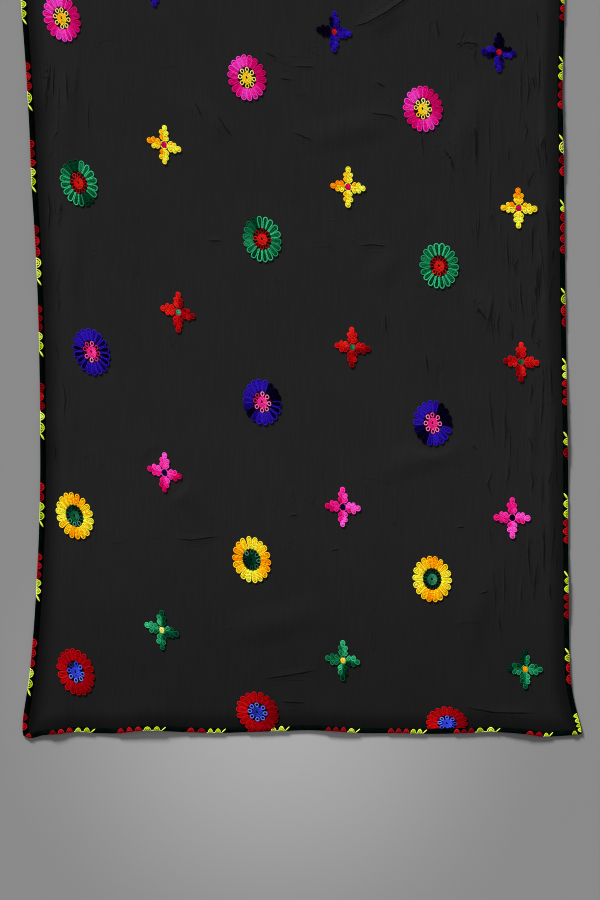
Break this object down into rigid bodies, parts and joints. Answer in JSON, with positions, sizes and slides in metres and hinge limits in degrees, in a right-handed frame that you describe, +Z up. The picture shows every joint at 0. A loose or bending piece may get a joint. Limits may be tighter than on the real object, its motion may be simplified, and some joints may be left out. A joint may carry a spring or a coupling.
{
  "type": "dupatta",
  "caption": "Black dupatta laid flat: a long thin cloth panel with raised couched-cord flowers and four-armed crosses in staggered rows, edged all round by a folded lace binding.",
  "frame": {"origin": "middle of the cloth's outline, on the surface that it lies on", "axes": "+Y along the cloth, from the hem that the picture shows at its foot to the other hem; +X across it, to the picture's right; +Z up from the surface, out of the face with the embroidery"},
  "size_m": [0.9612, 2.2596, 0.0085],
  "materials": {
    "cloth": "matt plain weave",
    "lace_edging": "folded lace in dark green with red and neon yellow lobes",
    "thread_red": "couched cord, shaded",
    "thread_yellow": "couched cord, shaded to orange",
    "thread_blue": "couched cord, shaded to near black",
    "thread_green": "couched cord, shaded to dark green",
    "thread_magenta": "couched cord, shaded to orchid",
    "thread_pink": "couched cord, shaded"
  },
  "bodies": {
    "root": {"panel": "cloth", "binding_left": "lace_edging", "binding_right": "lace_edging", "binding_near_hem": "lace_edging", "binding_far_hem": "lace_edging", "flower_1_1": "thread_red", "flower_1_2": "thread_yellow", "flower_1_3": "thread_blue", "flower_1_4": "thread_green", "flower_1_5": "thread_magenta", "flower_1_6": "thread_red", "flower_1_7": "thread_yellow", "flower_1_8": "thread_blue", "flower_2_1": "thread_red", "flower_2_2": "thread_yellow", "flower_2_3": "thread_blue", "flower_2_4": "thread_green", "flower_2_5": "thread_magenta", "flower_2_6": "thread_red", "flower_2_7": "thread_yellow", "flower_2_8": "thread_blue", "flower_2_9": "thread_green", "flower_3_1": "thread_red", "flower_3_2": "thread_yellow", "flower_3_3": "thread_blue", "flower_3_4": "thread_green", "flower_3_5": "thread_magenta", "flower_3_6": "thread_red", "flower_3_7": "thread_yellow", "flower_3_8": "thread_blue", "flower_3_9": "thread_green", "cross_1_1": "thread_green", "cross_1_2": "thread_pink", "cross_1_3": "thread_red", "cross_1_4": "thread_yellow", "cross_1_5": "thread_blue", "cross_1_6": "thread_green", "cross_1_7": "thread_pink", "cross_1_8": "thread_red", "cross_2_1": "thread_green", "cross_2_2": "thread_pink", "cross_2_3": "thread_red", "cross_2_4": "thread_yellow", "cross_2_5": "thread_blue", "cross_2_6": "thread_green", "cross_2_7": "thread_pink", "cross_2_8": "thread_red", "cross_3_1": "thread_green", "cross_3_2": "thread_pink", "cross_3_3": "thread_red", "cross_3_4": "thread_yellow", "cross_3_5": "thread_blue", "cross_3_6": "thread_green", "cross_3_7": "thread_pink", "cross_3_8": "thread_red"}
  },
  "joints": []
}
